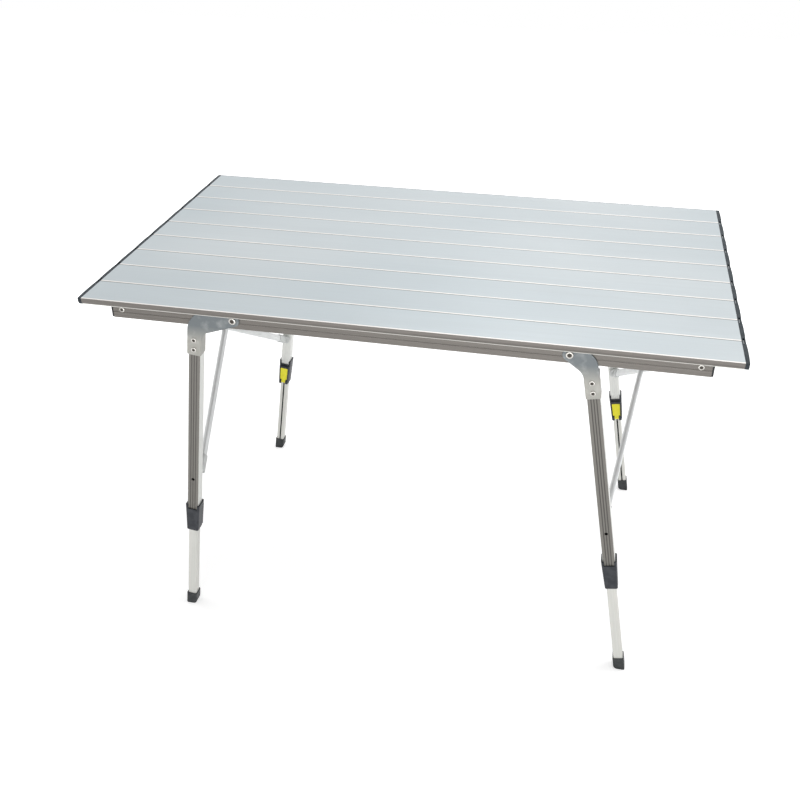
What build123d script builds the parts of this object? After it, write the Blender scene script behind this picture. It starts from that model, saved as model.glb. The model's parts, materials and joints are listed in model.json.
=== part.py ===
from build123d import *
import os
from math import asin, atan2, cos, hypot, sin

# Folding table with a roll-up slatted top, splayed telescopic legs and an X brace at each end.
# Millimetres. X runs along the slats, Y from front to rear, Z up. The origin lies on the
# floor under the middle of the top.

os.makedirs("parts", exist_ok=True)

# ---- Driving dimensions -------------------------------------------------------------------

# Table top
table_height = 706.0
top_length = 1100.0
slat_count = 9
slat_pitch = 73.2
seam_gap = 0.35
slat_height = 12.0
slat_wall = 1.4
slat_bevel = 2.6
slat_cells = 3
slat_edge_radius = 0.6

# Slat end caps and the links that join neighbouring caps
cap_depth = 7.5
cap_bulge = 1.0
cap_edge_radius = 0.5
cap_tenon_length = 12.0
link_thickness = 2.0
link_height = 8.4
link_pin_radius = 1.5
link_pin_offset = 5.0
link_inset = 2.3
link_slot_side_gap = 0.3
link_pin_end_gap = 0.3

# Rails under the front and rear edges
rail_length = 1008.0
rail_width = 21.4
rail_height = 32.0
rail_wall = 1.8
rail_lip = 2.0
rail_lip_height = 1.6
rail_groove_width = 1.6
rail_groove_depth = 0.8
rail_groove_drop = 21.0
rail_channel_height = 11.0
rail_offset = 292.0
plug_flange = 3.0
plug_tenon = 24.0
plug_corner = 1.5
end_rivet_inset = 20.0
end_rivet_head_radius = 5.0
end_rivet_head_height = 2.0
end_rivet_shank_radius = 2.4

# Clips that hold the top, showing as teeth in windows of the rail
clip_tooth_width = 7.0
clip_tooth_height = 6.5
clip_tooth_proud = 0.8
clip_tooth_pitch = 15.0
clip_tooth_depth = 5.0
clip_left_position = -415.0
clip_right_position = 400.0
clip_bar_length = 26.0
clip_bar_height = 2.4
clip_bar_shift = 28.0

# Legs
pivot_spacing = 564.0
foot_spacing = 878.0
left_arm = 68.0
right_arm = 30.6
upper_tube_size = 22.0
upper_tube_wall = 1.5
upper_tube_corner = 2.5
upper_tube_start = 31.0
upper_tube_end = 478.0
flute_count = 3
flute_pitch = 4.6
flute_radius = 1.1
flute_depth = 0.55
lower_tube_size = 17.6
lower_tube_wall = 1.4
lower_tube_corner = 2.6
lower_tube_start = 430.0
lower_tube_lift = 7.0
lower_tube_slot = 3.2

# Leg brackets
bracket_plate = 2.5
bracket_flange = 1.5
bracket_eye_radius = 11.5
bracket_corner_radius = 20.0
bracket_corner_drop = 15.0
bracket_end = 84.0
bracket_rivet_places = (54.0, 73.0)
bracket_rivet_head_radius = 4.8
bracket_rivet_head_height = 1.8
bracket_rivet_shank_radius = 2.4
pivot_shank_radius = 4.0
pivot_head_radius = 6.4
pivot_head_height = 2.4

# Clamp sleeves and their levers
sleeve_start = 426.0
sleeve_end = 489.0
sleeve_top_size = 28.0
sleeve_bottom_size = 23.6
sleeve_corner = 3.5
sleeve_dip_width = 19.0
sleeve_dip_depth = 9.0
pad_start = 439.0
pad_width = 24.6
pad_depth = 17.6
pad_draft = 2.6
pad_corner = 2.0
lever_width = 18.0
lever_start = 445.0
lever_neck_start = 476.6
lever_thickness = 4.0
lever_back = 12.7
lever_knuckle_width = 9.4
lever_knuckle_radius = 3.3
lever_corner_radius = 3.0
lever_taper = 1.0
lever_pin_place = 483.5
lever_pin_radius = 1.3
lever_pin_sink = 0.2
lever_pin_end_gap = 1.0
lever_gap = 0.35
ear_start = 478.6

# Feet
foot_height = 28.0
foot_size = 21.0
foot_inner_radius = 8.0
foot_outer_radius = 2.5
foot_edge_radius = 1.2

# X braces
brace_pin_place = 362.6
brace_pin_radius = 3.0
brace_rail_place = 468.0
brace_rail_drop = 18.0
strut_width = 15.0
strut_thickness = 9.0
strut_wall = 1.3
strut_corner = 3.5
strut_spread = 5.2
strut_end_setback = 10.0
eye_radius = 8.5
eye_thickness = 8.0
shank_length = 34.0
shank_wall = 1.8
centre_rivet_radius = 3.0
centre_rivet_head_radius = 6.0
centre_rivet_head_height = 1.6

# Share of every rivet's head height that its dome takes
rivet_dome = 0.7

# Clearances
moving_gap = 0.3
running_fit = 0.05
seat_fit = 0.05
brace_side_gap = 0.6

# ---- Derived sizes ------------------------------------------------------------------------

slat_width = slat_pitch - seam_gap
slat_length = top_length - 2 * cap_depth
hinge_drop = slat_height / 2
top_under = table_height - slat_height
rail_top = top_under - moving_gap
rail_middle = rail_top - rail_height / 2
rail_body_length = rail_length - 2 * plug_flange
pivot_x = pivot_spacing / 2
pivot_z = rail_middle
foot_x = foot_spacing / 2
leg_offset = rail_offset
leg_outer_face = leg_offset + upper_tube_size / 2
leg_inner_face = leg_offset - upper_tube_size / 2
end_rivet_x = rail_length / 2 - end_rivet_inset
cell_pitch = (slat_width - 2 * slat_bevel - slat_wall) / slat_cells
cell_width = cell_pitch - slat_wall
cell_height = slat_height - 2 * slat_wall
arms = {"left": left_arm, "right": right_arm}
trim_size = 4 * top_length
trim_depth = 2 * strut_width
nearly_parallel = 0.99


def lean_of(arm):
    """Angle of a leg from upright, set by its foot and by its distance from the pivot."""
    reach = hypot(foot_x - pivot_x, pivot_z)
    return atan2(foot_x - pivot_x, pivot_z) - asin(arm / reach)


def along(arm):
    """Unit vector down the front right leg."""
    lean = lean_of(arm)
    return Vector(sin(lean), 0, -cos(lean))


def outward(arm):
    """Unit vector square to the front right leg, away from the table's middle."""
    lean = lean_of(arm)
    return Vector(cos(lean), 0, sin(lean))


def leg_point(arm, out, down, y=-leg_offset):
    """Point beside the front right leg: out from its axis and down from the pivot's level."""
    pivot = Vector(pivot_x, y, pivot_z)
    return pivot + outward(arm) * (arm + out) + along(arm) * down


def leg_section(arm, down):
    """Plane across the leg: x away from the middle, y to the front, z down the leg."""
    return Plane(origin=leg_point(arm, 0, down), x_dir=outward(arm), z_dir=along(arm))


def leg_side(arm, y):
    """Upright plane along the leg that faces the front: x away from the middle, y up it."""
    return Plane(origin=leg_point(arm, 0, 0, y), x_dir=outward(arm), z_dir=(0, -1, 0))


def floor_place(arm, out):
    """Distance down the leg at which a line beside its axis meets the floor."""
    start = leg_point(arm, out, 0)
    return start.Z / cos(lean_of(arm))


def placed(shape, end, side):
    """A front right shape, moved to the end and side that it is wanted at."""
    if end == "left":
        shape = shape.mirror(Plane.YZ)
    if side == "rear":
        shape = shape.mirror(Plane.XZ)
    return shape


def write(piece, name):
    """Label a finished piece and write it as a STEP file."""
    piece.part.label = name
    export_step(piece.part, f"parts/{name}.step")


# ---- Table top ----------------------------------------------------------------------------


def slat_middle(number):
    """Y of a slat's middle; slat 1 is the front one."""
    return (number - (slat_count + 1) / 2) * slat_pitch


def slat_section(x, number):
    """The slat's outline: square shoulders that butt on top and bevels that let it roll."""
    half = slat_width / 2
    plane = Plane(origin=(x, slat_middle(number), table_height), x_dir=(0, 1, 0), z_dir=(1, 0, 0))
    with BuildSketch(plane) as section:
        with BuildLine():
            Polyline(
                (-half, 0), (half, 0), (half, -hinge_drop), (half - slat_bevel, -slat_height),
                (slat_bevel - half, -slat_height), (-half, -hinge_drop), close=True,
            )
        make_face()
        fillet(section.vertices().group_by(Axis.Y)[-1], slat_edge_radius)
    return section.sketch


def slat_cells_section(x, number, shrink):
    """The hollow cells inside a slat, made smaller all round by shrink."""
    plane = Plane(
        origin=(x, slat_middle(number), table_height - slat_height / 2),
        x_dir=(0, 1, 0), z_dir=(1, 0, 0),
    )
    with BuildSketch(plane) as cells:
        with GridLocations(cell_pitch, 0, slat_cells, 1):
            Rectangle(cell_width - 2 * shrink, cell_height - 2 * shrink)
    return cells.sketch


def build_slat(number):
    with BuildPart() as slat:
        extrude(slat_section(-slat_length / 2, number), amount=slat_length)
        extrude(slat_cells_section(-slat_length / 2, number, 0), amount=slat_length,
                mode=Mode.SUBTRACT)
    write(slat, f"slat_{number}")


def seams_of(number):
    """Y of each seam that a slat shares with a neighbour."""
    middle = slat_middle(number)
    seams = []
    if number > 1:
        seams.append(middle - slat_pitch / 2)
    if number < slat_count:
        seams.append(middle + slat_pitch / 2)
    return seams


def pin_places(number, seams):
    """Y of the link pins that stand in the caps of one slat."""
    middle = slat_middle(number)
    return [seam + (link_pin_offset if middle > seam else -link_pin_offset) for seam in seams]


def build_caps(number):
    """End caps of one slat: a bowed end on a tenon for each cell, with a slot for each link."""
    middle = slat_middle(number)
    inner = slat_length / 2
    seams = seams_of(number)
    slot_length = 2 * (link_pin_offset + link_height / 2 + moving_gap)
    slot_width = link_thickness + 2 * link_slot_side_gap
    pin_z = table_height - hinge_drop
    with BuildPart() as caps:
        extrude(slat_section(inner, number), amount=cap_depth)
        with BuildSketch(Plane.XY.offset(top_under)):
            with BuildLine():
                Line((inner, middle - slat_width / 2), (inner, middle + slat_width / 2))
                Line((inner, middle + slat_width / 2),
                     (inner + cap_depth - cap_bulge, middle + slat_width / 2))
                ThreePointArc((inner + cap_depth - cap_bulge, middle + slat_width / 2),
                              (inner + cap_depth, middle),
                              (inner + cap_depth - cap_bulge, middle - slat_width / 2))
                Line((inner + cap_depth - cap_bulge, middle - slat_width / 2),
                     (inner, middle - slat_width / 2))
            make_face()
        extrude(amount=slat_height, mode=Mode.INTERSECT)
        bowed = caps.edges().filter_by(GeomType.CIRCLE).filter_by(
            lambda edge: edge.length > slat_width / 2)
        fillet(bowed, cap_edge_radius)
        extrude(slat_cells_section(inner - cap_tenon_length, number, seat_fit),
                amount=cap_tenon_length)
        for seam, pin_y in zip(seams, pin_places(number, seams)):
            with BuildSketch(Plane.XY.offset(top_under)):
                with Locations((inner + link_inset + link_thickness / 2, seam)):
                    Rectangle(slot_width, slot_length)
            extrude(amount=slat_height, mode=Mode.SUBTRACT)
            with BuildSketch(Plane.YZ.offset(inner)):
                with Locations((pin_y, pin_z)):
                    Circle(link_pin_radius + running_fit)
            extrude(amount=cap_depth, mode=Mode.SUBTRACT)
        mirror(about=Plane.YZ)
    write(caps, f"slat_caps_{number}")


def build_links(number):
    """Plates and pins that join slat number to the next one at both ends of the top."""
    seam = slat_middle(number) + slat_pitch / 2
    near = slat_length / 2 + link_inset
    pin_start = slat_length / 2 + link_pin_end_gap
    pin_length = cap_depth - cap_bulge - 2 * link_pin_end_gap
    pin_z = table_height - hinge_drop
    with BuildPart() as links:
        with BuildSketch(Plane.YZ.offset(near)):
            with Locations((seam, pin_z)):
                SlotCenterToCenter(2 * link_pin_offset, link_height)
                with GridLocations(2 * link_pin_offset, 0, 2, 1):
                    Circle(link_pin_radius + running_fit, mode=Mode.SUBTRACT)
        extrude(amount=link_thickness)
        with BuildSketch(Plane.YZ.offset(pin_start)):
            with Locations((seam, pin_z)):
                with GridLocations(2 * link_pin_offset, 0, 2, 1):
                    Circle(link_pin_radius)
        extrude(amount=pin_length)
        mirror(about=Plane.YZ)
    write(links, f"link_plates_{number}")


# ---- Rails --------------------------------------------------------------------------------


def build_rail(side):
    """Hollow rail with a lip over the bracket plates, a face groove and an inner channel."""
    plane = Plane(origin=(-rail_body_length / 2, -rail_offset, rail_top), x_dir=(0, 1, 0),
                  z_dir=(1, 0, 0))
    half = rail_width / 2
    with BuildPart() as rail:
        with BuildSketch(plane):
            with Locations((0, -rail_height / 2)):
                Rectangle(rail_width, rail_height)
            with Locations((-half - rail_lip / 2, -rail_lip_height / 2)):
                Rectangle(rail_lip, rail_lip_height)
            with Locations((0, -rail_height / 2)):
                Rectangle(rail_width - 2 * rail_wall, rail_height - 2 * rail_wall,
                          mode=Mode.SUBTRACT)
            with Locations((-half + rail_groove_depth / 2, -rail_groove_drop)):
                Rectangle(rail_groove_depth, rail_groove_width, mode=Mode.SUBTRACT)
            with Locations((half - rail_wall / 2, -rail_height / 2)):
                Rectangle(rail_wall, rail_channel_height, mode=Mode.SUBTRACT)
        extrude(amount=rail_body_length)
        front = Plane(origin=(0, -rail_offset - half, rail_middle), x_dir=(1, 0, 0),
                      z_dir=(0, -1, 0))
        with BuildSketch(front):
            with GridLocations(pivot_spacing, 0, 2, 1):
                Circle(pivot_shank_radius + running_fit)
            with GridLocations(2 * end_rivet_x, 0, 2, 1):
                Circle(end_rivet_shank_radius + seat_fit)
        extrude(amount=-rail_wall, mode=Mode.SUBTRACT)
        add(clip_shapes(seat_fit, rail_wall + rail_lip), mode=Mode.SUBTRACT)
        if side == "rear":
            turned = rail.part.mirror(Plane.XZ)
            add(turned, mode=Mode.REPLACE)
    write(rail, f"{side}_rail")


def clip_shapes(grow, depth):
    """Clip teeth and bar in the front rail's outer wall, grown all round by grow."""
    face_y = -rail_offset - rail_width / 2
    level = rail_top - rail_wall - clip_tooth_height / 2 - 2 * seat_fit
    bar_level = rail_top - rail_wall - clip_bar_height / 2 - 2 * seat_fit
    plane = Plane(origin=(0, face_y - clip_tooth_proud - grow, level), x_dir=(1, 0, 0),
                  z_dir=(0, 1, 0))
    half = clip_tooth_width / 2 + grow
    rise = clip_tooth_height / 2 + grow
    with BuildPart() as clips:
        for place in (clip_left_position, clip_right_position):
            for shift in (-clip_tooth_pitch / 2, clip_tooth_pitch / 2):
                with BuildSketch(plane):
                    with BuildLine():
                        middle = place + shift
                        Polyline((middle - half, -rise), (middle + half, -rise),
                                 (middle + half / 4, rise), (middle - half / 4, rise),
                                 close=True)
                    make_face()
                extrude(amount=depth)
        bar = Plane(origin=(clip_left_position + clip_bar_shift,
                            face_y - clip_tooth_proud - grow, bar_level),
                    x_dir=(1, 0, 0), z_dir=(0, 1, 0))
        with BuildSketch(bar):
            Rectangle(clip_bar_length + 2 * grow, clip_bar_height + 2 * grow)
        extrude(amount=depth)
    return clips.part


def build_clips():
    with BuildPart() as clips:
        add(clip_shapes(0, clip_tooth_depth))
        mirror(about=Plane.XZ)
    write(clips, "top_clips")


def build_plugs():
    """End plugs of both rails, each a flange on a tenon that the end rivet goes into."""
    tenon_width = rail_width - 2 * rail_wall - 2 * seat_fit
    tenon_height = rail_height - 2 * rail_wall - 2 * seat_fit
    with BuildPart() as plugs:
        with BuildSketch(Plane.YZ.offset(rail_body_length / 2)):
            with Locations((-rail_offset, rail_middle)):
                RectangleRounded(rail_width, rail_height, plug_corner)
        extrude(amount=plug_flange)
        with BuildSketch(Plane.YZ.offset(rail_body_length / 2 - plug_tenon)):
            with Locations((-rail_offset, rail_middle)):
                Rectangle(tenon_width, tenon_height)
        extrude(amount=plug_tenon)
        face = Plane(origin=(end_rivet_x, -rail_offset, rail_middle), x_dir=(1, 0, 0),
                     z_dir=(0, -1, 0))
        with BuildSketch(face):
            Circle(end_rivet_shank_radius + seat_fit)
        extrude(amount=rail_width, mode=Mode.SUBTRACT)
        mirror(about=Plane.YZ)
        mirror(about=Plane.XZ)
    write(plugs, "rail_plugs")


def rivet(plane, shank_radius, shank_length, head_radius, head_height):
    """A domed rivet whose head seats on the plane and whose shank runs back behind it."""
    with BuildPart() as piece:
        with BuildSketch(plane):
            Circle(shank_radius)
        extrude(amount=-shank_length)
        with BuildSketch(plane):
            Circle(head_radius)
        extrude(amount=head_height)
        rim = piece.edges().filter_by(GeomType.CIRCLE).sort_by(
            lambda edge: (edge.center() - plane.origin).dot(plane.z_dir))[-1]
        fillet(rim, rivet_dome * head_height)
    return piece.part


def build_rail_rivets():
    face = Plane(origin=(end_rivet_x, -rail_offset - rail_width / 2, rail_middle),
                 x_dir=(1, 0, 0), z_dir=(0, -1, 0))
    with BuildPart() as rivets:
        add(rivet(face, end_rivet_shank_radius, rail_width / 2, end_rivet_head_radius,
                  end_rivet_head_height))
        mirror(about=Plane.YZ)
        mirror(about=Plane.XZ)
    write(rivets, "rail_rivets")


def build_pivot_rivets():
    """The four rivets that the leg brackets turn on, upset behind the rail's outer wall."""
    head_face = -leg_outer_face - bracket_plate - moving_gap
    tail = -rail_offset - rail_width / 2 + rail_wall
    plane = Plane(origin=(pivot_x, head_face, pivot_z), x_dir=(1, 0, 0), z_dir=(0, -1, 0))
    with BuildPart() as rivets:
        add(rivet(plane, pivot_shank_radius, tail - head_face, pivot_head_radius,
                  pivot_head_height))
        with BuildSketch(Plane(origin=(pivot_x, tail, pivot_z), x_dir=(1, 0, 0),
                               z_dir=(0, 1, 0))):
            Circle(pivot_head_radius)
        extrude(amount=pivot_head_height)
        mirror(about=Plane.YZ)
        mirror(about=Plane.XZ)
    write(rivets, "pivot_rivets")


# ---- Leg brackets -------------------------------------------------------------------------


def bracket(arm):
    """Plate from the pivot round the head of the leg, with flanges down both its sides."""
    half = upper_tube_size / 2 + bracket_flange
    corner_out = half - bracket_corner_radius
    face = leg_side(arm, -leg_outer_face)
    with BuildPart() as piece:
        with BuildSketch(face):
            with BuildSketch(face, mode=Mode.PRIVATE) as rounds:
                with Locations((-arm, 0)):
                    Circle(bracket_eye_radius)
                with Locations((corner_out, -bracket_corner_drop)):
                    Circle(bracket_corner_radius)
            add(rounds.sketch_local)
            make_hull(rounds.edges())
            with Locations((0, -(bracket_corner_drop + bracket_end) / 2)):
                Rectangle(2 * half, bracket_end - bracket_corner_drop)
        extrude(amount=bracket_plate)
        with BuildSketch(leg_section(arm, upper_tube_start)):
            with GridLocations(upper_tube_size + bracket_flange, 0, 2, 1):
                Rectangle(bracket_flange, upper_tube_size)
        extrude(amount=bracket_end - upper_tube_start)
        with BuildSketch(face):
            with Locations((-arm, 0)):
                Circle(pivot_shank_radius + running_fit)
            with Locations(*[(0, -place) for place in bracket_rivet_places]):
                Circle(bracket_rivet_shank_radius + seat_fit)
        extrude(amount=bracket_plate, mode=Mode.SUBTRACT)
    return piece.part


def bracket_rivets(arm):
    face_y = -leg_outer_face - bracket_plate
    shank = bracket_plate + upper_tube_wall
    with BuildPart() as piece:
        for place in bracket_rivet_places:
            centre = leg_point(arm, 0, place, face_y)
            plane = Plane(origin=centre, x_dir=(1, 0, 0), z_dir=(0, -1, 0))
            add(rivet(plane, bracket_rivet_shank_radius, shank, bracket_rivet_head_radius,
                      bracket_rivet_head_height))
    return piece.part


# ---- Leg tubes ----------------------------------------------------------------------------


def upper_tube(arm):
    """Square tube with flutes down its front and back, and holes for the rivets and pin."""
    inside = upper_tube_size - 2 * upper_tube_wall
    face = upper_tube_size / 2
    with BuildPart() as piece:
        with BuildSketch(leg_section(arm, upper_tube_start)):
            RectangleRounded(upper_tube_size, upper_tube_size, upper_tube_corner)
            for edge in (-1, 1):
                with Locations((0, edge * (face + flute_radius - flute_depth))):
                    with GridLocations(flute_pitch, 0, flute_count, 1):
                        Circle(flute_radius, mode=Mode.SUBTRACT)
            RectangleRounded(inside, inside, upper_tube_corner / 2, mode=Mode.SUBTRACT)
        extrude(amount=upper_tube_end - upper_tube_start)
        with BuildSketch(leg_side(arm, -leg_offset)):
            with Locations((0, -brace_pin_place)):
                Circle(brace_pin_radius + running_fit)
        extrude(amount=upper_tube_size, both=True, mode=Mode.SUBTRACT)
        with BuildSketch(leg_side(arm, -leg_offset)):
            with Locations(*[(0, -place) for place in bracket_rivet_places]):
                Circle(bracket_rivet_shank_radius + seat_fit)
        extrude(amount=upper_tube_size, mode=Mode.SUBTRACT)
    return piece.part


def lower_tube(arm):
    """Smaller square tube that slides in the upper one, slotted down its inner wall."""
    inside = lower_tube_size - 2 * lower_tube_wall
    length = floor_place(arm, 0) - lower_tube_lift - lower_tube_start
    with BuildPart() as piece:
        with BuildSketch(leg_section(arm, lower_tube_start)):
            RectangleRounded(lower_tube_size, lower_tube_size, lower_tube_corner)
            RectangleRounded(inside, inside, lower_tube_corner / 2, mode=Mode.SUBTRACT)
            with Locations((0, -lower_tube_size / 2)):
                Rectangle(lower_tube_slot, 2 * lower_tube_wall, mode=Mode.SUBTRACT)
        extrude(amount=length)
    return piece.part


def foot(arm):
    """Foot cap: flat on the floor, round at its inner lower corner, socketed for the tube."""
    half = foot_size / 2
    top = floor_place(arm, 0) - foot_height
    socket = lower_tube_size + 2 * seat_fit
    with BuildPart() as piece:
        with BuildSketch(leg_side(arm, -leg_offset)) as profile:
            with BuildLine():
                Polyline((-half, -top), (half, -top), (half, -floor_place(arm, half)),
                         (-half, -floor_place(arm, -half)), close=True)
            make_face()
            fillet(profile.vertices().sort_by(Axis.Y)[:2].sort_by(Axis.X)[0],
                   foot_inner_radius)
            fillet(profile.vertices().sort_by(Axis.X)[-2:].sort_by(Axis.Y)[0],
                   foot_outer_radius)
        extrude(amount=half, both=True)
        fillet(piece.edges().filter_by(
            lambda edge: edge.length > foot_height / 3
            and abs(edge.tangent_at(0).dot(along(arm))) > nearly_parallel), foot_edge_radius)
        with BuildSketch(leg_section(arm, top)):
            RectangleRounded(socket, socket, lower_tube_corner + seat_fit)
        extrude(amount=foot_height - lower_tube_lift + seat_fit, mode=Mode.SUBTRACT)
    return piece.part


# ---- Clamp sleeve and lever ---------------------------------------------------------------


def sleeve(arm):
    """Tapered sleeve on the end of the upper tube, with a housing for the lever inside."""
    tube_socket = upper_tube_size + 2 * seat_fit
    bore = lower_tube_size + 2 * moving_gap
    recess_floor = lever_back - lever_gap
    with BuildPart() as piece:
        with BuildSketch(leg_section(arm, sleeve_start)):
            RectangleRounded(sleeve_top_size, sleeve_top_size, sleeve_corner)
        with BuildSketch(leg_section(arm, sleeve_end)):
            RectangleRounded(sleeve_bottom_size, sleeve_bottom_size, sleeve_corner)
        loft()
        with BuildSketch(leg_section(arm, pad_start)):
            with Locations((0, -pad_depth / 2)):
                RectangleRounded(pad_width, pad_depth, pad_corner)
        with BuildSketch(leg_section(arm, sleeve_end)):
            with Locations((0, -pad_depth / 2)):
                RectangleRounded(pad_width - pad_draft, pad_depth, pad_corner)
        loft()
        with BuildSketch(leg_section(arm, sleeve_start)):
            for edge in (-1, 1):
                with Locations((0, edge * sleeve_top_size / 2)):
                    Rectangle(sleeve_dip_width, sleeve_top_size - upper_tube_size)
        extrude(amount=sleeve_dip_depth, mode=Mode.SUBTRACT)
        with BuildSketch(leg_section(arm, sleeve_start)):
            RectangleRounded(tube_socket, tube_socket, upper_tube_corner)
        extrude(amount=upper_tube_end + seat_fit - sleeve_start, mode=Mode.SUBTRACT)
        with BuildSketch(leg_section(arm, sleeve_start)):
            RectangleRounded(bore, bore, lower_tube_corner)
        extrude(amount=sleeve_end - sleeve_start, mode=Mode.SUBTRACT)
        with BuildSketch(leg_section(arm, lever_start - lever_gap)):
            with Locations((0, -recess_floor - pad_depth / 2)):
                Rectangle(lever_width + 2 * lever_gap, pad_depth)
        extrude(amount=ear_start - lever_start + lever_gap, mode=Mode.SUBTRACT)
        with BuildSketch(leg_section(arm, ear_start)):
            with Locations((0, -lever_pin_seat() + lever_knuckle_radius + lever_gap
                            - pad_depth / 2)):
                Rectangle(lever_knuckle_width + 2 * lever_gap, pad_depth)
        extrude(amount=sleeve_end - ear_start, mode=Mode.SUBTRACT)
        with BuildSketch(lever_axis_plane(arm)):
            Circle(lever_pin_radius + seat_fit)
        extrude(amount=pad_width, both=True, mode=Mode.SUBTRACT)
    return piece.part


def lever_pin_seat():
    """Distance of the lever's pin from the leg's axis."""
    return lever_back + lever_thickness / 2 + lever_pin_sink


def lever_axis_plane(arm):
    """Plane whose normal is the lever's pin, through the pin's middle."""
    centre = leg_point(arm, 0, lever_pin_place, -leg_offset + lever_pin_seat())
    return Plane(origin=centre, x_dir=(0, -1, 0), z_dir=outward(arm))


def lever(arm):
    """Flip lever with rounded top corners, necked to a knuckle between the sleeve's ears."""
    back = leg_side(arm, -leg_offset + lever_back + lever_thickness)
    with BuildPart() as piece:
        with BuildSketch(back) as outline:
            with BuildLine():
                Polyline(
                    (-lever_width / 2, -lever_start), (lever_width / 2, -lever_start),
                    (lever_width / 2 - lever_taper, -lever_neck_start),
                    (lever_knuckle_width / 2, -lever_neck_start),
                    (lever_knuckle_width / 2, -lever_pin_place),
                    (-lever_knuckle_width / 2, -lever_pin_place),
                    (-lever_knuckle_width / 2, -lever_neck_start),
                    (lever_taper - lever_width / 2, -lever_neck_start), close=True,
                )
            make_face()
            fillet(outline.vertices().sort_by(Axis.Y)[-2:], lever_corner_radius)
        extrude(amount=lever_thickness)
        with BuildSketch(lever_axis_plane(arm)):
            Circle(lever_knuckle_radius)
        extrude(amount=lever_knuckle_width / 2, both=True)
        with BuildSketch(lever_axis_plane(arm)):
            Circle(lever_pin_radius + running_fit)
        extrude(amount=lever_knuckle_width, both=True, mode=Mode.SUBTRACT)
        with BuildSketch(lever_axis_plane(arm)):
            Circle(lever_pin_radius)
        extrude(amount=(pad_width - pad_draft) / 2 - lever_pin_end_gap, both=True)
    return piece.part


# ---- X braces -----------------------------------------------------------------------------


def brace_line(arm):
    """Lower pin, and unit vector and length from it to the rail, as seen from the front."""
    low = leg_point(arm, 0, brace_pin_place, 0)
    high = Vector(brace_rail_place, 0, rail_top - brace_rail_drop)
    reach = high - low
    return low, reach.normalized(), reach.length


def strut_frame(arm, side):
    """Start, direction, length and cross plane axes of the strut that starts on one side."""
    low, rise, length = brace_line(arm)
    normal = Vector(rise.Z, 0, -rise.X)
    across = side * (leg_inner_face - brace_side_gap - eye_thickness / 2)
    start = Vector(low.X, across, low.Z) + normal * (side * strut_spread)
    direction = (rise * length + Vector(0, -2 * across, 0))
    return start, direction.normalized(), direction.length, normal


def strut_plane(arm, side, distance):
    start, direction, length, normal = strut_frame(arm, side)
    return Plane(origin=start + direction * distance, x_dir=normal.cross(direction),
                 z_dir=direction)


def centre_plane(arm):
    """Plane of the X, at the place where its struts cross."""
    low, rise, length = brace_line(arm)
    normal = Vector(rise.Z, 0, -rise.X)
    return Plane(origin=low + rise * (length / 2), x_dir=(0, 1, 0), z_dir=normal)


def strut_body(arm, side, grow, setback):
    """Outer form of a strut, grown by grow, that stops short of its pins by setback."""
    length = strut_frame(arm, side)[2]
    with BuildPart() as body:
        with BuildSketch(strut_plane(arm, side, setback)):
            RectangleRounded(strut_width + 2 * grow, strut_thickness + 2 * grow,
                             strut_corner + grow)
        extrude(amount=length - 2 * setback)
    return body.part


def struts(arm):
    """The two crossing flat tubes of one brace."""
    with BuildPart() as piece:
        for side in (-1, 1):
            add(strut_body(arm, side, 0, strut_end_setback))
            add(strut_body(arm, side, -strut_wall, strut_end_setback), mode=Mode.SUBTRACT)
        with BuildSketch(centre_plane(arm)):
            Circle(centre_rivet_radius + running_fit)
        extrude(amount=4 * strut_spread, both=True, mode=Mode.SUBTRACT)
    return piece.part


def brace_fittings(arm):
    """Eyes with sockets on the strut ends, stub pins into the legs, and the centre rivet."""
    low, rise, length = brace_line(arm)
    high = low + rise * length
    eye_face = leg_inner_face - brace_side_gap
    stub = brace_side_gap + upper_tube_wall
    with BuildPart() as piece:
        for side in (-1, 1):
            total = strut_frame(arm, side)[2]
            for place, end_side in ((low, side), (high, -side)):
                eye = Plane(origin=(place.X, end_side * eye_face, place.Z), x_dir=(1, 0, 0),
                            z_dir=(0, -end_side, 0))
                with BuildSketch(eye):
                    Circle(eye_radius)
                extrude(amount=eye_thickness)
            for distance in (0, total - shank_length):
                with BuildSketch(strut_plane(arm, side, distance)):
                    RectangleRounded(strut_width + 2 * shank_wall,
                                     strut_thickness + 2 * shank_wall,
                                     strut_corner + shank_wall)
                extrude(amount=shank_length)
        for side in (-1, 1):
            add(strut_body(arm, side, seat_fit, strut_end_setback - seat_fit),
                mode=Mode.SUBTRACT)
        with BuildSketch(Plane.XZ.offset(eye_face)):
            Rectangle(trim_size, trim_size)
        extrude(amount=trim_depth, mode=Mode.SUBTRACT)
        with BuildSketch(Plane.XZ.offset(-eye_face)):
            Rectangle(trim_size, trim_size)
        extrude(amount=-trim_depth, mode=Mode.SUBTRACT)
        for side in (-1, 1):
            pin = Plane(origin=(low.X, side * eye_face, low.Z), x_dir=(1, 0, 0),
                        z_dir=(0, side, 0))
            with BuildSketch(pin):
                Circle(brace_pin_radius)
            extrude(amount=stub)
        grip = strut_spread + strut_thickness / 2
        plane = centre_plane(arm).offset(grip)
        add(rivet(plane, centre_rivet_radius, 2 * grip, centre_rivet_head_radius,
                  centre_rivet_head_height))
        with BuildSketch(centre_plane(arm).offset(-grip)):
            Circle(centre_rivet_head_radius)
        extrude(amount=-centre_rivet_head_height)
    return piece.part


# ---- Building the table -------------------------------------------------------------------

for number in range(1, slat_count + 1):
    build_slat(number)
    build_caps(number)
for number in range(1, slat_count):
    build_links(number)

build_rail("front")
build_rail("rear")
build_clips()
build_plugs()
build_rail_rivets()
build_pivot_rivets()

leg_shapes = {"upper_tube": upper_tube, "sleeve": sleeve, "lower_tube": lower_tube,
              "foot": foot, "lever": lever}
pair_shapes = {"brackets": bracket, "bracket_rivets": bracket_rivets}

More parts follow.
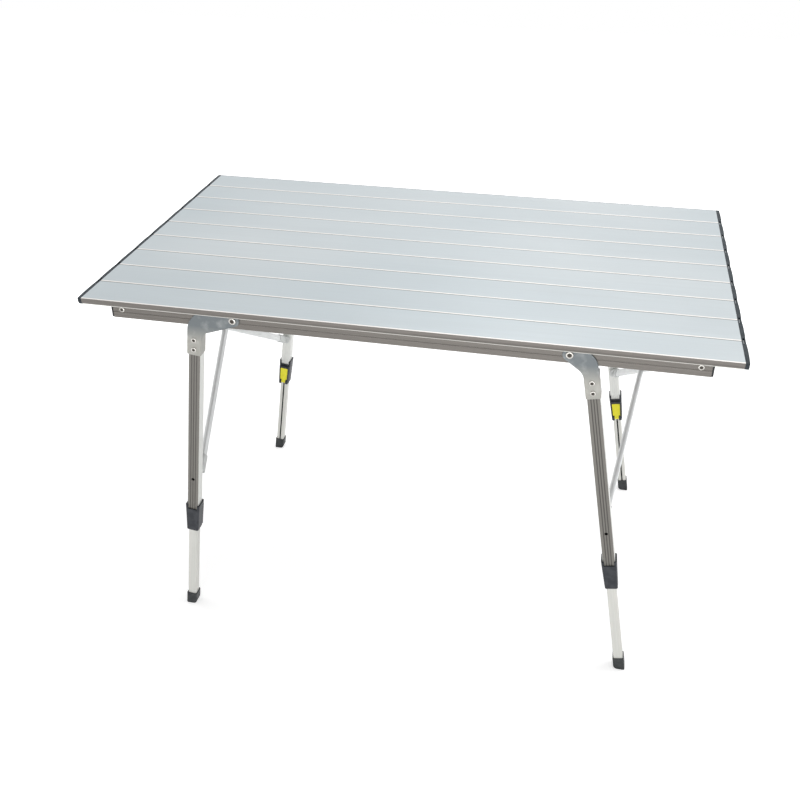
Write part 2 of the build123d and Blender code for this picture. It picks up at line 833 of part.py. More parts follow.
for end, arm in arms.items():
    for kind, shape in leg_shapes.items():
        quarter = shape(arm)
        for side in ("front", "rear"):
            with BuildPart() as leg_piece:
                add(placed(quarter, end, side))
            write(leg_piece, f"{kind}_{side}_{end}")
    for kind, shape in pair_shapes.items():
        quarter = shape(arm)
        with BuildPart() as pair:
            add(placed(quarter, end, "front"))
            add(placed(quarter, end, "rear"))
        write(pair, f"{kind}_{end}")
    for kind, shape in {"struts": struts, "brace_fittings": brace_fittings}.items():
        with BuildPart() as brace_piece:
            add(placed(shape(arm), end, "front"))
        write(brace_piece, f"{kind}_{end}")
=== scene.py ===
import json
import math

import bmesh
import bpy
from mathutils import Matrix, Vector


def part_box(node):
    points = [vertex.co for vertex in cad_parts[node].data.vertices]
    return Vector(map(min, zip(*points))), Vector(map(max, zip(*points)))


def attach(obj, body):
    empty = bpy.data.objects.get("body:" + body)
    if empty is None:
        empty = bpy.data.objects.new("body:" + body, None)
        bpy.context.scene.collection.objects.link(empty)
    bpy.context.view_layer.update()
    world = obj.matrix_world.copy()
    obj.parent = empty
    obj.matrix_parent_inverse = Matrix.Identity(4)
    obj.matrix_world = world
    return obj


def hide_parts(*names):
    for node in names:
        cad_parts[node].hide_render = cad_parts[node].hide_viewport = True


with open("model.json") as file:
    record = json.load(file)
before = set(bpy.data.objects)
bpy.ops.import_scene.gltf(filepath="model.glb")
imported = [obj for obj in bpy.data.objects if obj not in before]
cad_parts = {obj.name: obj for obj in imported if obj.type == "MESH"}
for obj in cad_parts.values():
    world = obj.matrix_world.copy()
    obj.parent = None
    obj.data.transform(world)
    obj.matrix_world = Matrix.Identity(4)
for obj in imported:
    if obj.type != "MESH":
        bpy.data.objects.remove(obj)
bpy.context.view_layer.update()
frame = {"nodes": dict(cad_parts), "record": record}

# Finishes, elbow brackets, studio and camera for a roll-top folding table. Metres, in
# the CAD frame: X along the slats, Y from front to rear, Z up, the floor at Z = 0.

ends = ("left", "right")
sides = ("front", "rear")
slat_count = 9

# ---- Camera and studio ---------------------------------------------------------------

camera_place = (0.293, -1.651, 1.409)
camera_target = (-0.029, -0.134, 0.450)
camera_lens = 42.8
sensor_width = 36.0

white = (1.0, 1.0, 1.0)
daylight_strength = 0.38
seen_strength = 1.0

floor_size = 12.0
floor_roughness = 0.9

# The floor's glow, from where the shadow falls to where it is plain white
clear_radius = 0.9
white_radius = 1.9
clear_glow = 0.55
white_glow = 1.0

lamp_target = (0.0, 0.0, 0.45)
softboxes = {
    "top_softbox": {
        "place": (0.3, 0.5, 2.6), "size": (2.4, 2.4), "power": 34.0,
        "colour": (0.97, 0.985, 1.0)},
    "right_softbox": {
        "place": (2.6, 0.7, 1.3), "size": (1.6, 1.6), "power": 24.0, "colour": white},
    "left_softbox": {
        "place": (-2.6, 0.3, 1.2), "size": (1.6, 1.6), "power": 14.0, "colour": white},
    "low_front_softbox": {
        "place": (0.2, -2.6, 0.55), "size": (2.0, 0.8), "power": 24.0, "colour": white},
}

# ---- Colours, linear -----------------------------------------------------------------

slat_top_cool = (0.50, 0.555, 0.58)
slat_top_pale = (0.60, 0.64, 0.655)
# Painted highlight on the slats' upward bevels
slat_bevel_highlight_colour = (0.80, 0.78, 0.75)
# Painted dark reflection on the sides of the slats and the faces of the rails
slat_side_reflection_colour = (0.150, 0.136, 0.124)
slat_side_reflection_pale = (0.175, 0.162, 0.148)
# Painted highlight along each slat's front edge
seam_highlight_colour = (0.90, 0.87, 0.83)
seam_shadow_colour = (0.17, 0.175, 0.18)
# Painted dark reflection on the rail faces
rail_face_reflection_colour = (0.140, 0.129, 0.117)
# Painted highlight on the rails' top lip and along the slats' lower rim
rail_lip_highlight_colour = (0.66, 0.65, 0.61)
# Painted dark reflection on the legs' outer faces
leg_face_reflection_colour = (0.205, 0.196, 0.178)
leg_side_colour = (0.78, 0.79, 0.76)
# Painted shade in the flutes of the legs' outer faces
flute_shade_colour = (0.085, 0.080, 0.072)
tube_colour = (0.70, 0.70, 0.66)
strut_colour = (0.90, 0.92, 0.92)
bracket_upper_colour = (0.155, 0.174, 0.184)
# Painted reflection that makes the brackets paler lower down
bracket_lower_reflection_colour = (0.37, 0.365, 0.335)
steel_colour = (0.62, 0.61, 0.58)
steel_dull_colour = (0.42, 0.40, 0.37)
steel_shadow_colour = (0.055, 0.05, 0.045)
cap_colour = (0.012, 0.021, 0.028)
link_colour = (0.34, 0.36, 0.37)
black_colour = (0.012, 0.013, 0.015)
sleeve_colour = (0.030, 0.034, 0.042)
foot_colour = (0.030, 0.034, 0.036)
lever_colour = (1.0, 0.92, 0.03)
fitting_colour = (0.70, 0.72, 0.71)
floor_colour = (0.80, 0.80, 0.80)
floor_pale_colour = (0.82, 0.82, 0.82)

# ---- Patterns ------------------------------------------------------------------------

# Cycles per metre: along and across brushing and drawing, on each axis, or on all alike
slat_brushing = (5.0, 900.0)
rail_drawing = (3.0, 700.0)
tube_drawing = (5.0, 800.0)
slat_clouding = (1.2, 1.6, 1.0)
strut_satin = 1100.0
strut_clouding = 25.0
bracket_grain = 1400.0
bracket_wear = 60.0
steel_dulling = 500.0
plastic_mottle = 90.0
floor_mottle = 3.0

grain_detail = 2.0
cloud_detail = 3.0
streak_detail = 4.0

# The stretch of a noise over which its effect goes from none to all
clear_contrast = (0.35, 0.65)
soft_contrast = (0.3, 0.7)
wear_contrast = (0.5, 0.75)
dulling_contrast = (0.4, 0.7)

# How much of a second colour a pattern brings in
slat_brushing_share = 0.07
tube_drawing_share = 0.10
strut_clouding_share = 0.08
bracket_wear_share = 0.18
plastic_paler_share = 0.05
plastic_darker_share = 0.5

# How far the grain takes a plastic's roughness down and up
plastic_smoother = 0.07
plastic_rougher = 0.09

# How far up a surface faces, from -1 to 1, where one colour gives way to the next
underside_facing = (-0.95, -0.8)
bevel_facing = (0.25, 0.45)
top_facing = (0.90, 0.97)
lip_facing = (0.3, 0.6)

# Painted highlight and shade lines: their widths, and the share that has the full
# colour or is fading
seam_highlight_width = 0.0030
seam_highlight_full = 0.8
seam_shadow_width = 0.0030
seam_shadow_fade = 0.3
# Height of the painted highlight along the slats' lower rim
rim_highlight_height = 0.0016
flute_full = 0.5
edge_fade = 0.0002
face_fade = 0.0003

# Levels as shares of a node's height
rail_lip_level = 0.945
# Levels between which the painted reflection on the brackets fades out upwards
bracket_full_reflection_level = 0.35
bracket_no_reflection_level = 0.70

# ---- Leg tubes and rivets ------------------------------------------------------------

upper_tube_width = 0.022
lower_tube_width = 0.0176
tube_wall = 0.0015
# Share of the tube wall, from its outer face in, left out of the painted shade within
# the tube
lit_wall_share = 0.6
flute_pitch = 0.0046
flute_width = 0.0011
face_depth = 0.0011

bracket_rivet_radius = 0.0048
# Shares of a rivet head's radius where the painted shadow in its dimple starts to fade
# and where it has gone
dimple_share = 0.50
dimple_edge_share = 0.72

# ---- Elbow brackets ------------------------------------------------------------------

# On a leg's own axes: across it from its middle, and down it from the pivot
plate_thickness = 0.0025
flange_thickness = 0.0015
press_radius = 0.0006
press_steps = 2
half_width = 0.0125
eye_radius = 0.0115
top_rise = 0.005
foot_drop = 0.084
foot_radius = 0.0025
flange_start = 0.040
flange_depth = 0.022
pivot_hole = 0.00405
rivet_hole = 0.00245
rivet_drops = (0.054, 0.073)
arc_steps = 12
weld_distance = 0.00001
elbows = {
    "left": {"outer_radius": 0.044, "inner_radius": 0.018, "inner_drop": 0.040},
    "right": {"outer_radius": 0.036, "inner_radius": 0.026, "inner_drop": 0.036},
}


# ---- Materials -----------------------------------------------------------------------

class Finish:
    """A material being made: its node tree, and the shader that the tree feeds."""

    def __init__(self, name, metallic=0.0, gloss=0.5):
        self.material = bpy.data.materials.new(name)
        self.material.use_nodes = True
        self.tree = self.material.node_tree
        self.shader = self.tree.nodes["Principled BSDF"]
        self.shader.inputs["Metallic"].default_value = metallic
        self.shader.inputs["Specular IOR Level"].default_value = gloss
        self.place = self.tree.nodes.new("ShaderNodeTexCoord")

    def feed(self, socket, value):
        """Links value to the socket if it is an output, and otherwise sets it."""
        if isinstance(value, bpy.types.NodeSocket):
            self.tree.links.new(value, socket)
        elif isinstance(value, tuple) and socket.type == "RGBA":
            socket.default_value = (*value, 1.0)
        else:
            socket.default_value = value

    def noise(self, cycles, turn=(0.0, 0.0, 0.0), detail=cloud_detail):
        """Noise on axes turned from the piece's own, with cycles per metre on each."""
        mapping = self.tree.nodes.new("ShaderNodeMapping")
        mapping.vector_type = "TEXTURE"
        mapping.inputs["Rotation"].default_value = turn
        mapping.inputs["Scale"].default_value = [1.0 / number for number in cycles]
        noise = self.tree.nodes.new("ShaderNodeTexNoise")
        noise.inputs["Scale"].default_value = 1.0
        noise.inputs["Detail"].default_value = detail
        self.feed(mapping.inputs["Vector"], self.place.outputs["Object"])
        self.feed(noise.inputs["Vector"], mapping.outputs["Vector"])
        return noise.outputs["Fac"]

    def even_noise(self, cycles, detail=cloud_detail):
        """Noise that is alike in all directions."""
        return self.noise((cycles, cycles, cycles), detail=detail)

    def streaks(self, cycles, lean=0.0):
        """Drawn lines along X, or with a lean along a direction turned about Y."""
        along, across = cycles
        return self.noise((along, across, across), (0.0, -lean, 0.0), streak_detail)

    def span(self, value, low, high, to_low=0.0, to_high=1.0):
        """value, from low to high, spread over to_low to to_high."""
        node = self.tree.nodes.new("ShaderNodeMapRange")
        for socket, number in zip(node.inputs, (value, low, high, to_low, to_high)):
            self.feed(socket, number)
        return node.outputs["Result"]

    def along(self, output, direction):
        """The part of a coordinate output that lies along a direction."""
        node = self.tree.nodes.new("ShaderNodeVectorMath")
        node.operation = "DOT_PRODUCT"
        self.feed(node.inputs[0], self.place.outputs[output])
        self.feed(node.inputs[1], direction)
        return node.outputs["Value"]

    def depth(self):
        """How far to the rear a point of the piece is."""
        return self.along("Object", (0.0, 1.0, 0.0))

    def level(self):
        """How high a point of the piece is."""
        return self.along("Object", (0.0, 0.0, 1.0))

    def facing(self):
        """How far up the surface faces at rest, from -1 to 1."""
        return self.along("Normal", (0.0, 0.0, 1.0))

    def reckon(self, operation, *values):
        """A sum, product or other calculation on numbers."""
        node = self.tree.nodes.new("ShaderNodeMath")
        node.operation = operation
        for socket, number in zip(node.inputs, values):
            self.feed(socket, number)
        return node.outputs["Value"]

    def distance(self, centre, weights):
        """Distance from a point of the piece's own coordinates, each axis weighted."""
        shifted = self.tree.nodes.new("ShaderNodeVectorMath")
        shifted.operation = "SUBTRACT"
        self.feed(shifted.inputs[0], self.place.outputs["Object"])
        self.feed(shifted.inputs[1], centre)
        weighted = self.tree.nodes.new("ShaderNodeVectorMath")
        weighted.operation = "MULTIPLY"
        self.feed(weighted.inputs[0], shifted.outputs["Vector"])
        self.feed(weighted.inputs[1], weights)
        length = self.tree.nodes.new("ShaderNodeVectorMath")
        length.operation = "LENGTH"
        self.feed(length.inputs[0], weighted.outputs["Vector"])
        return length.outputs["Value"]

    def mix(self, factor, first, second):
        """first at factor 0, second at factor 1."""
        node = self.tree.nodes.new("ShaderNodeMix")
        node.data_type = "RGBA"
        colours = [socket for socket in node.inputs if socket.type == "RGBA"]
        self.feed(node.inputs[0], factor)
        self.feed(colours[0], first)
        self.feed(colours[1], second)
        return [socket for socket in node.outputs if socket.type == "RGBA"][0]

    def colour(self, value):
        self.feed(self.shader.inputs["Base Color"], value)

    def roughen(self, pattern, low, high):
        """Roughness from low to high with a pattern."""
        spread = self.span(pattern, *soft_contrast, low, high)
        self.feed(self.shader.inputs["Roughness"], spread)

    def bump(self, pattern, height):
        """Raises the surface by up to a height with a pattern."""
        node = self.tree.nodes.new("ShaderNodeBump")
        node.inputs["Distance"].default_value = height
        self.feed(node.inputs["Height"], pattern)
        self.feed(self.shader.inputs["Normal"], node.outputs["Normal"])


def slat_top_colour(finish, brushing):
    """Brushed and clouded top, with a painted highlight line and a painted shadow at a
    slat's two edges.
    """
    clouding = finish.span(finish.noise(slat_clouding), *clear_contrast)
    top = finish.mix(clouding, slat_top_cool, slat_top_pale)
    darker_top = finish.mix(slat_brushing_share, top, slat_side_reflection_colour)
    brushed_top = finish.mix(finish.span(brushing, *clear_contrast), darker_top, top)
    front_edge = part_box("slat_1")[0][1]
    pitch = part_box("slat_2")[0][1] - front_edge
    from_front = finish.reckon("SUBTRACT", finish.depth(), front_edge)
    from_edge = finish.reckon("FLOORED_MODULO", from_front, pitch)
    # Painted highlight along the slat's front edge, and painted shadow along its rear
    # edge
    line = finish.span(from_edge, seam_highlight_width, seam_highlight_width * seam_highlight_full)
    shadow_start = pitch - seam_shadow_width
    shadow_full = shadow_start + seam_shadow_width * seam_shadow_fade
    shadow = finish.span(from_edge, shadow_start, shadow_full)
    highlit_top = finish.mix(line, brushed_top, seam_highlight_colour)
    return finish.mix(shadow, highlit_top, seam_shadow_colour)


def slat_material():
    """Brushed clear-anodised slats: painted highlights at the top edges and lower rim,
    painted dark reflection on the sides.
    """
    finish = Finish("slat_brushed_aluminium", metallic=0.45)
    brushing = finish.streaks(slat_brushing)
    top = slat_top_colour(finish, brushing)
    facing = finish.facing()
    pattern = finish.span(brushing, *soft_contrast)
    # Painted dark reflection on the slat's sides
    side = finish.mix(pattern, slat_side_reflection_colour, slat_side_reflection_pale)
    # Painted highlight along the lower rim of the slat's sides
    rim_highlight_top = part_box("slat_1")[0][2] + rim_highlight_height
    low = finish.span(finish.level(), rim_highlight_top, rim_highlight_top - edge_fade)
    upright = finish.span(facing, *underside_facing)
    rim = finish.reckon("MULTIPLY", low, upright)
    with_rim_highlight = finish.mix(rim, side, rail_lip_highlight_colour)
    # Painted highlight on the upward bevels
    with_bevel_highlight = finish.mix(finish.span(facing, *bevel_facing), with_rim_highlight, slat_bevel_highlight_colour)
    finish.colour(finish.mix(finish.span(facing, *top_facing), with_bevel_highlight, top))
    finish.roughen(brushing, low=0.32, high=0.42)
    finish.bump(brushing, height=0.00002)
    return finish.material


def rail_material():
    """The side rails: a drawn face with painted dark reflection, and a painted
    highlight on the top lip.
    """
    finish = Finish("rail_drawn_aluminium", metallic=0.5)
    drawing = finish.streaks(rail_drawing)
    pattern = finish.span(drawing, *soft_contrast)
    # Painted dark reflection on the rail face
    shade = finish.mix(pattern, rail_face_reflection_colour, slat_side_reflection_pale)
    # Painted highlight on the top lip: above its level, or facing up
    lip = cad_level("front_rail", rail_lip_level)
    above = finish.span(finish.level(), lip, lip + edge_fade)
    high = finish.reckon("MAXIMUM", finish.span(finish.facing(), *lip_facing), above)
    finish.colour(finish.mix(high, shade, rail_lip_highlight_colour))
    finish.roughen(drawing, low=0.34, high=0.48)
    finish.bump(drawing, height=0.00005)
    return finish.material


def beside_leg(finish, end):
    """Distances from the middle of an end's legs, across them and to front or rear."""
    across, axis_place = leg_axis(end)
    low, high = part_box("foot_rear_" + end)
    middle = (low[1] + high[1]) / 2
    aside = finish.reckon("SUBTRACT", finish.along("Object", across), axis_place)
    depth = finish.reckon("ABSOLUTE", finish.depth())
    off = finish.reckon("SUBTRACT", depth, middle)
    return finish.reckon("ABSOLUTE", aside), off


def flute_shaded_colour(finish, aside, face_reflection_colour):
    """An outer face with painted shade in three flutes along it, one of them in its
    middle.
    """
    from_outer_flute = finish.reckon("SUBTRACT", aside, flute_pitch)
    flute = finish.reckon("MINIMUM", aside, finish.reckon("ABSOLUTE", from_outer_flute))
    # Painted shade in the flutes
    groove = finish.span(flute, flute_width, flute_width * flute_full)
    return finish.mix(groove, face_reflection_colour, flute_shade_colour)


def tube_material(name, end, width, side_colour, face_reflection_colour=None):
    """A drawn tube with painted shade within. Given a face colour, its outer face is
    fluted and takes that painted dark reflection, with painted shade in the flutes.
    """
    finish = Finish(name, metallic=0.35)
    drawing = finish.streaks(tube_drawing, lean_of(end))
    aside, off = beside_leg(finish, end)
    shade = side_colour
    if face_reflection_colour:
        fluted = flute_shaded_colour(finish, aside, face_reflection_colour)
        # Painted dark reflection on the outer face
        face = width / 2 - face_depth
        outer = finish.span(off, face, face + face_fade)
        shade = finish.mix(outer, side_colour, fluted)
    darker = finish.mix(tube_drawing_share, shade, black_colour)
    drawn = finish.mix(finish.span(drawing, *clear_contrast), darker, shade)
    # Painted shade inside the tube
    reach = finish.reckon("MAXIMUM", aside, finish.reckon("ABSOLUTE", off))
    wall = width / 2 - tube_wall * lit_wall_share
    inside_shade = finish.span(reach, wall, wall - edge_fade)
    finish.colour(finish.mix(inside_shade, drawn, black_colour))
    finish.roughen(drawing, low=0.30, high=0.46)
    finish.bump(drawing, height=0.00004)
    return finish.material


def strut_material():
    """Bright strut tube with a fine even satin."""
    finish = Finish("strut_aluminium", metallic=0.1)
    satin = finish.even_noise(strut_satin, grain_detail)
    clouding = finish.span(finish.even_noise(strut_clouding), *clear_contrast)
    greyer = finish.mix(strut_clouding_share, strut_colour, black_colour)
    finish.colour(finish.mix(clouding, greyer, strut_colour))
    finish.roughen(satin, low=0.30, high=0.44)
    finish.bump(satin, height=0.00002)
    return finish.material


def bracket_material():
    """Blasted and anodised blue-grey brackets, with a painted reflection that makes
    them paler down on the leg.
    """
    finish = Finish("bracket_satin_metal", metallic=0.35)
    grain = finish.even_noise(bracket_grain, grain_detail)
    wear = finish.even_noise(bracket_wear)
    # Painted reflection, paler low on the bracket
    pale = cad_level("brackets_right", bracket_full_reflection_level)
    dark = cad_level("brackets_right", bracket_no_reflection_level)
    height = finish.span(finish.level(), pale, dark)
    shade = finish.mix(height, bracket_lower_reflection_colour, bracket_upper_colour)
    rubbed = finish.mix(bracket_wear_share, shade, leg_side_colour)
    finish.colour(finish.mix(finish.span(wear, *wear_contrast), shade, rubbed))
    finish.roughen(grain, low=0.36, high=0.50)
    finish.bump(grain, height=0.00003)
    return finish.material


def steel_material(name, centres, radius):
    """Bright rivets, dulled in patches, each with a painted shadow in the dimple of its
    head.
    """
    finish = Finish(name, metallic=1.0)
    dulling = finish.even_noise(steel_dulling)
    off_rivet_axis = (1.0, 0.0, 1.0)
    nearest = 1.0
    for centre in centres:
        away = finish.distance(centre, off_rivet_axis)
        nearest = finish.reckon("MINIMUM", nearest, away)
    # Painted shadow in the dimple of each rivet head
    rim = finish.span(nearest, radius * dimple_share, radius * dimple_edge_share)
    dulled = finish.span(dulling, *dulling_contrast)
    bright = finish.mix(dulled, steel_colour, steel_dull_colour)
    finish.colour(finish.mix(rim, steel_shadow_colour, bright))
    finish.roughen(dulling, low=0.16, high=0.34)
    finish.bump(dulling, height=0.00003)
    return finish.material


def plastic_material(
        name, colour, roughness, grain_cycles=900.0, spread=0.35, gloss=0.5):
    """Moulded plastic: a fine spark-eroded grain and slight mottling of the colour."""
    finish = Finish(name, gloss=gloss)
    grain = finish.even_noise(grain_cycles, grain_detail)
    mottle = finish.even_noise(plastic_mottle)
    paler = tuple(c + (1.0 - c) * plastic_paler_share * spread for c in colour)
    darker = tuple(c * (1.0 - plastic_darker_share * spread) for c in colour)
    finish.colour(finish.mix(finish.span(mottle, *clear_contrast), darker, paler))
    finish.roughen(grain, roughness - plastic_smoother, roughness + plastic_rougher)
    finish.bump(grain, height=0.00005)
    return finish.material


# ---- Places read from the CAD --------------------------------------------------------

def cad_level(node, share):
    """The height of a point that share of the way up a CAD node."""
    low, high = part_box(node)
    return low[2] + share * (high[2] - low[2])


def joint_named(name):
    """A joint of the record."""
    return next(j for j in frame["record"]["behaviour"]["joints"] if j["name"] == name)


def tube_direction(end):
    """Direction up the legs of an end, in which their lower tubes slide."""
    return joint_named("tube_slide_front_" + end)["axis"]


def lean_of(end):
    """How far the legs of an end are turned from X."""
    axis = tube_direction(end)
    return math.atan2(axis[2], axis[0])


def leg_axis(end):
    """Direction across an end's legs, away from the middle, and where their axis is."""
    sign = -1.0 if end == "left" else 1.0
    up = Vector(tube_direction(end))
    across = Vector((sign * up.z, 0.0, -sign * up.x))
    return across, across.dot(Vector(joint_named("lever_front_" + end)["pos_m"]))


def rivet_centres(node):
    """Middles and head radius of the rivets at both ends of a node, on one level."""
    low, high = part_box(node)
    radius = (high[2] - low[2]) / 2
    middle = (high[2] + low[2]) / 2
    return [(low[0] + radius, 0.0, middle), (high[0] - radius, 0.0, middle)], radius


def bracket_rivet_centres(end, radius):
    """Middles of the two rivets that hold a bracket to its leg."""
    low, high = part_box("bracket_rivets_" + end)
    inner, outer = low[0] + radius, high[0] - radius
    if end == "left":
        inner, outer = outer, inner
    return [(inner, 0.0, high[2] - radius), (outer, 0.0, low[2] + radius)]


# ---- Painting ------------------------------------------------------------------------

def paint(node, material):
    """Gives a CAD node one material."""
    mesh = frame["nodes"][node].data
    mesh.materials.clear()
    mesh.materials.append(material)


def paint_top():
    """The slats with their caps and links."""
    slat = slat_material()
    cap = plastic_material("cap_plastic", cap_colour, roughness=0.46, gloss=0.22)
    link = plastic_material("link_plastic", link_colour, roughness=0.40)
    for number in range(1, slat_count + 1):
        paint("slat_%d" % number, slat)
        paint("slat_caps_%d" % number, cap)
    for number in range(1, slat_count):
        paint("link_plates_%d" % number, link)


def paint_frame():
    """The side rails with their plugs and rivets, and the clips above them."""
    rail = rail_material()
    black = plastic_material("black_plastic", black_colour, roughness=0.42, gloss=0.25)
    for side in sides:
        paint(side + "_rail", rail)
    paint("rail_plugs", black)
    paint("top_clips", black)
    for node in ("rail_rivets", "pivot_rivets"):
        paint(node, steel_material(node + "_steel", *rivet_centres(node)))


def paint_legs():
    """The legs of both ends with their brackets and struts."""
    bracket = bracket_material()
    strut = strut_material()
    fitting = plastic_material(
        "fitting_plastic", fitting_colour, roughness=0.40, grain_cycles=1000.0,
        spread=0.15)
    plastics = {
        "sleeve": plastic_material(
            "sleeve_plastic", sleeve_colour, roughness=0.42, gloss=0.3),
        "lever": plastic_material(
            "lever_yellow_plastic", lever_colour, roughness=0.34, grain_cycles=1100.0,
            spread=0.12),
        "foot": plastic_material(
            "foot_plastic", foot_colour, roughness=0.48, grain_cycles=700.0, gloss=0.3),
    }
    for end in ends:
        tubes = {
            "upper_tube": tube_material(
                "upper_tube_" + end, end, upper_tube_width, leg_side_colour,
                leg_face_reflection_colour),
            "lower_tube": tube_material(
                "lower_tube_" + end, end, lower_tube_width, tube_colour),
        }
        centres = bracket_rivet_centres(end, bracket_rivet_radius)
        steel = steel_material("bracket_steel_" + end, centres, bracket_rivet_radius)
        paint("brackets_" + end, bracket)
        make_elbows(end, bracket)
        paint("bracket_rivets_" + end, steel)
        paint("struts_" + end, strut)
        paint("brace_fittings_" + end, fitting)
        for side in sides:
            for part, material in (tubes | plastics).items():
                paint("%s_%s_%s" % (part, side, end), material)


# ---- Making the elbow brackets -------------------------------------------------------

def arc(centre, radius, start, end):
    """Points round a circle from one angle to another."""
    points = []
    for step in range(arc_steps + 1):
        angle = start + (end - start) * step / arc_steps
        points.append(centre + radius * Vector((math.cos(angle), math.sin(angle))))
    return points


def rounded(before, corner, after, radius):
    """Points of the arc that rounds a corner between two straight runs."""
    back = (before - corner).normalized()
    on = (after - corner).normalized()
    half_angle = back.angle(on) / 2
    centre = corner + (back + on).normalized() * radius / math.sin(half_angle)
    reach = radius / math.tan(half_angle)
    start = corner + back * reach - centre
    end = corner + on * reach - centre
    turn = start.angle_signed(end)
    first = math.atan2(start.y, start.x)
    return arc(centre, radius, first, first - turn)


def tangent_angle(centre, radius, point, side):
    """Angle on a circle at which the line from a point outside touches it."""
    reach = point - centre
    return math.atan2(reach.y, reach.x) + side * math.acos(radius / reach.length)


def elbow_outline(arm, shape):
    """Outline of a bracket: eye, straight top, round shoulder, foot and inner curve."""
    eye = Vector((-arm, 0.0))
    shoulder = Vector((half_width, top_rise))
    foot_outer = Vector((half_width, -foot_drop))
    foot_inner = Vector((-half_width, -foot_drop))
    crook = Vector((-half_width, -shape["inner_drop"]))
    top = tangent_angle(eye, eye_radius, shoulder, 1)
    under = tangent_angle(eye, eye_radius, crook, -1)
    points = arc(eye, eye_radius, under + 2 * math.pi, top)
    start, end = points[0], points[-1]
    points += rounded(end, shoulder, foot_outer, shape["outer_radius"])
    points += rounded(shoulder, foot_outer, foot_inner, foot_radius)
    points += rounded(foot_outer, foot_inner, crook, foot_radius)
    points += rounded(foot_inner, crook, start, shape["inner_radius"])
    return points


def pressed(outlines, thickness, matrix):
    """A sheet with rounded edges, from its own outline and then those of its holes."""
    curve = bpy.data.curves.new("pressing", "CURVE")
    curve.dimensions = "2D"
    curve.fill_mode = "BOTH"
    curve.extrude = thickness / 2 - press_radius
    curve.bevel_depth = press_radius
    curve.bevel_resolution = press_steps
    curve.offset = -press_radius
    for outline in outlines:
        spline = curve.splines.new("POLY")
        spline.points.add(len(outline) - 1)
        for point, corner in zip(spline.points, outline):
            point.co = (corner.x, corner.y, 0.0, 1.0)
        spline.use_cyclic_u = True
    holder = bpy.data.objects.new("pressing", curve)
    mesh = bpy.data.meshes.new_from_object(holder)
    mesh.transform(matrix)
    bpy.data.objects.remove(holder)
    bpy.data.curves.remove(curve)
    return mesh


def plate_outlines(arm, shape):
    """A bracket's outline, its pivot hole and its two rivet holes."""
    places = [(Vector((-arm, 0.0)), pivot_hole)]
    places += [(Vector((0.0, -drop)), rivet_hole) for drop in rivet_drops]
    holes = [arc(centre, radius, 0.0, 2 * math.pi)[:-1] for centre, radius in places]
    return [elbow_outline(arm, shape)] + holes


def flange_outline():
    """The flange that wraps one side of the leg, on depth and height."""
    corners = [
        (-flange_depth, -foot_drop), (0.0, -foot_drop),
        (0.0, -flange_start), (-flange_depth, -flange_start)]
    return [Vector(corner) for corner in corners]


def elbow_sheets(end):
    """The plate and two flanges of the front and the rear bracket of one end."""
    up = Vector(tube_direction(end))
    across, axis_place = leg_axis(end)
    pivot = Vector(joint_named(end + "_fold")["pos_m"])
    arm = axis_place - across.dot(pivot)
    origin = pivot + across * arm
    outer_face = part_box("brackets_" + end)[1][1]
    plate = plate_outlines(arm, elbows[end])
    sheets = []
    for side in (-1.0, 1.0):
        forward = Vector((0.0, side, 0.0))
        plate_middle = origin + forward * (outer_face - plate_thickness / 2)
        upright = Matrix((across, up, forward)).transposed().to_4x4()
        place = Matrix.Translation(plate_middle)
        sheets.append(pressed(plate, plate_thickness, place @ upright))
        turned = Matrix((forward, up, across)).transposed().to_4x4()
        for edge in (-1.0, 1.0):
            offset = across * edge * (half_width - flange_thickness / 2)
            place = Matrix.Translation(plate_middle + offset)
            sheets.append(pressed([flange_outline()], flange_thickness, place @ turned))
    return sheets


def make_elbows(end, material):
    """Both brackets of one end, on its legs, in place of the plain ones."""
    mesh = bmesh.new()
    for sheet in elbow_sheets(end):
        mesh.from_mesh(sheet)
        bpy.data.meshes.remove(sheet)
    bmesh.ops.remove_doubles(mesh, verts=mesh.verts, dist=weld_distance)
    bmesh.ops.recalc_face_normals(mesh, faces=mesh.faces)
    data = bpy.data.meshes.new("elbows_" + end)
    mesh.to_mesh(data)
    mesh.free()
    data.materials.append(material)
    piece = bpy.data.objects.new("elbows_" + end, data)
    bpy.context.scene.collection.objects.link(piece)
    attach(piece, end + "_legs")
    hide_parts("brackets_" + end)


# ---- Making the studio ---------------------------------------------------------------

def background_rays(tree):
    """1 for rays that see the background: from the camera, mirrored or through."""
    path = tree.nodes.new("ShaderNodeLightPath")
    total = path.outputs["Is Camera Ray"]
    for name in ("Is Glossy Ray", "Is Transmission Ray"):
        add = tree.nodes.new("ShaderNodeMath")
        add.operation = "MAXIMUM"
        tree.links.new(total, add.inputs[0])
        tree.links.new(path.outputs[name], add.inputs[1])
        total = add.outputs["Value"]
    return total


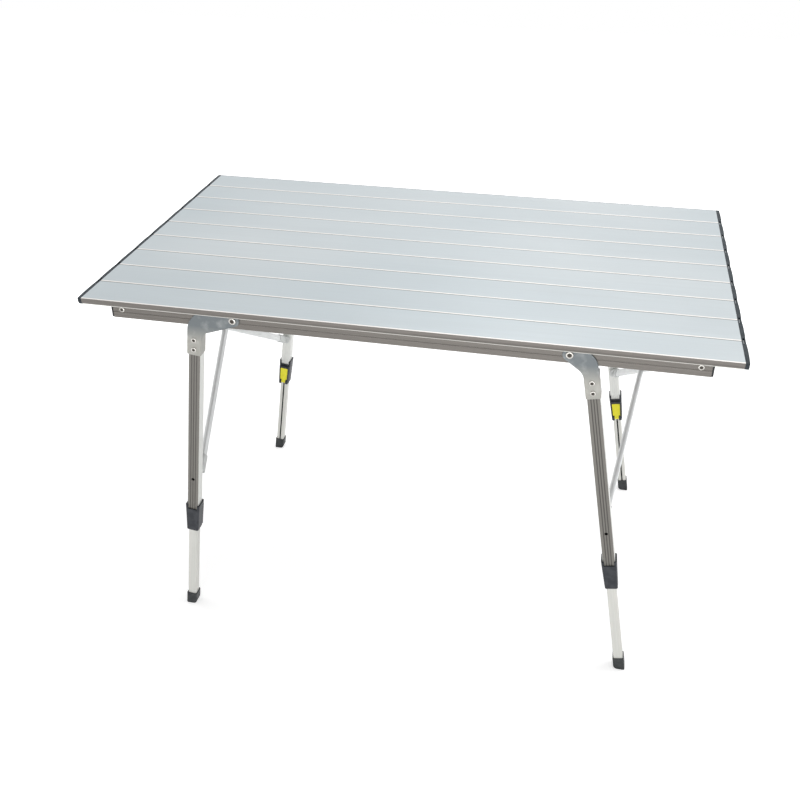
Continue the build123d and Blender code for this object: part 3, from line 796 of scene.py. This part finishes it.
def make_floor():
    """A pale floor that takes the shadow and shows white to the camera."""
    mesh = bpy.data.meshes.new("floor")
    half = floor_size / 2
    corners = [(-half, -half), (half, -half), (half, half), (-half, half)]
    mesh.from_pydata([(x, y, 0.0) for x, y in corners], [], [(0, 1, 2, 3)])
    floor = bpy.data.objects.new("floor", mesh)
    bpy.context.scene.collection.objects.link(floor)
    finish = Finish("floor_paper", gloss=0.0)
    finish.feed(finish.shader.inputs["Roughness"], floor_roughness)
    mottle = finish.span(finish.even_noise(floor_mottle), *soft_contrast)
    finish.colour(finish.mix(mottle, floor_colour, floor_pale_colour))
    finish.feed(finish.shader.inputs["Emission Color"], white)
    table_middle, along_floor = (0.0, 0.0, 0.0), (1.0, 1.0, 0.0)
    away = finish.distance(table_middle, along_floor)
    glow = finish.span(away, clear_radius, white_radius, clear_glow, white_glow)
    seen = finish.reckon("MULTIPLY", background_rays(finish.tree), glow)
    finish.feed(finish.shader.inputs["Emission Strength"], seen)
    mesh.materials.append(finish.material)


def make_world():
    """Plain dim daylight all round, white where it is seen."""
    world = bpy.data.worlds.new("studio")
    world.use_nodes = True
    bpy.context.scene.world = world
    tree = world.node_tree
    background = tree.nodes["Background"]
    background.inputs["Color"].default_value = (*white, 1.0)
    strength = tree.nodes.new("ShaderNodeMapRange")
    strength.inputs["To Min"].default_value = daylight_strength
    strength.inputs["To Max"].default_value = seen_strength
    tree.links.new(background_rays(tree), strength.inputs["Value"])
    tree.links.new(strength.outputs["Result"], background.inputs["Strength"])


def aimed(name, data, place, target):
    """A lamp or camera at a place, turned to face a target."""
    holder = bpy.data.objects.new(name, data)
    holder.location = place
    aim = Vector(target) - Vector(place)
    holder.rotation_euler = aim.to_track_quat("-Z", "Y").to_euler()
    bpy.context.scene.collection.objects.link(holder)
    return holder


def make_lights():
    """The rectangular lamps."""
    for name, softbox in softboxes.items():
        lamp = bpy.data.lights.new(name, "AREA")
        lamp.shape = "RECTANGLE"
        lamp.size, lamp.size_y = softbox["size"]
        lamp.energy = softbox["power"]
        lamp.color = softbox["colour"]
        aimed(name, lamp, softbox["place"], lamp_target)


def make_camera():
    """The camera, at the angle from which the table is shown."""
    lens = bpy.data.cameras.new("camera")
    lens.lens = camera_lens
    lens.sensor_width = sensor_width
    bpy.context.scene.camera = aimed("camera", lens, camera_place, camera_target)


paint_top()
paint_frame()
paint_legs()
make_floor()
make_world()
make_lights()
make_camera()
bpy.context.scene.view_settings.view_transform = "Standard"
